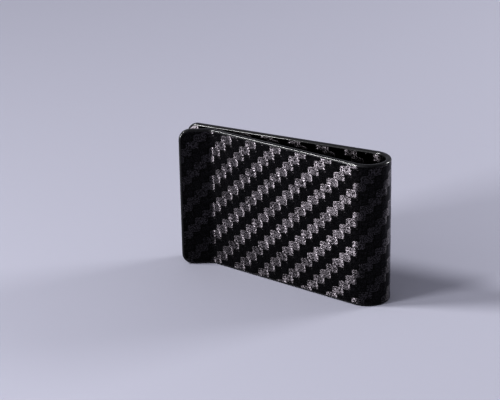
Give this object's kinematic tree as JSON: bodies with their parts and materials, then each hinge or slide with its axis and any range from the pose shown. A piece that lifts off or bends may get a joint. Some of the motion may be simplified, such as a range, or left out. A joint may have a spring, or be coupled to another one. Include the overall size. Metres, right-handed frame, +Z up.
{
  "type": "money clip",
  "caption": "U-shaped sprung money clip moulded in glossy black carbon-fibre twill, with a flared lip; it holds folded notes and cards.",
  "frame": {"origin": "middle of the bounding box at the bottom edge, on which the clip stands", "axes": "+X along the leaves towards the spine, -Y out of the front leaf, +Z up along the axis of the spine's bend"},
  "size_m": [0.061, 0.012, 0.038],
  "materials": {
    "carbon_twill": "woven carbon fibre in epoxy, seen through a glossy clear coat",
    "carbon_tape": "unidirectional carbon fibre in epoxy, sealed inside",
    "clear_coat": "polished clear lacquer"
  },
  "bodies": {
    "clip_back": {"back_leaf_outer_twill": "carbon_twill", "back_leaf_outer_lengthwise_tape": "carbon_tape", "back_leaf_outer_crosswise_tape": "carbon_tape", "back_leaf_inner_crosswise_tape": "carbon_tape", "back_leaf_inner_lengthwise_tape": "carbon_tape", "back_leaf_inner_twill": "carbon_twill", "back_leaf_clear_coat": "clear_coat", "spine_outer_twill": "carbon_twill", "spine_outer_lengthwise_tape": "carbon_tape", "spine_outer_crosswise_tape": "carbon_tape", "spine_inner_crosswise_tape": "carbon_tape", "spine_inner_lengthwise_tape": "carbon_tape", "spine_inner_twill": "carbon_twill", "spine_clear_coat": "clear_coat"},
    "clip_front": {"front_leaf_outer_twill": "carbon_twill", "front_leaf_outer_lengthwise_tape": "carbon_tape", "front_leaf_outer_crosswise_tape": "carbon_tape", "front_leaf_inner_crosswise_tape": "carbon_tape", "front_leaf_inner_lengthwise_tape": "carbon_tape", "front_leaf_inner_twill": "carbon_twill", "front_leaf_clear_coat": "clear_coat"}
  },
  "joints": [
    {"name": "leaf_flex", "type": "hinge", "parent": "clip_back", "child": "clip_front", "pos_m": [0.02763, -0.00027, 0.019], "axis": [0, 0, 1], "range_deg": [0, 8], "stiffness_Nm_per_rad": 14, "deforming": ["spine_outer_twill", "spine_outer_lengthwise_tape", "spine_outer_crosswise_tape", "spine_inner_crosswise_tape", "spine_inner_lengthwise_tape", "spine_inner_twill", "spine_clear_coat"]}
  ]
}
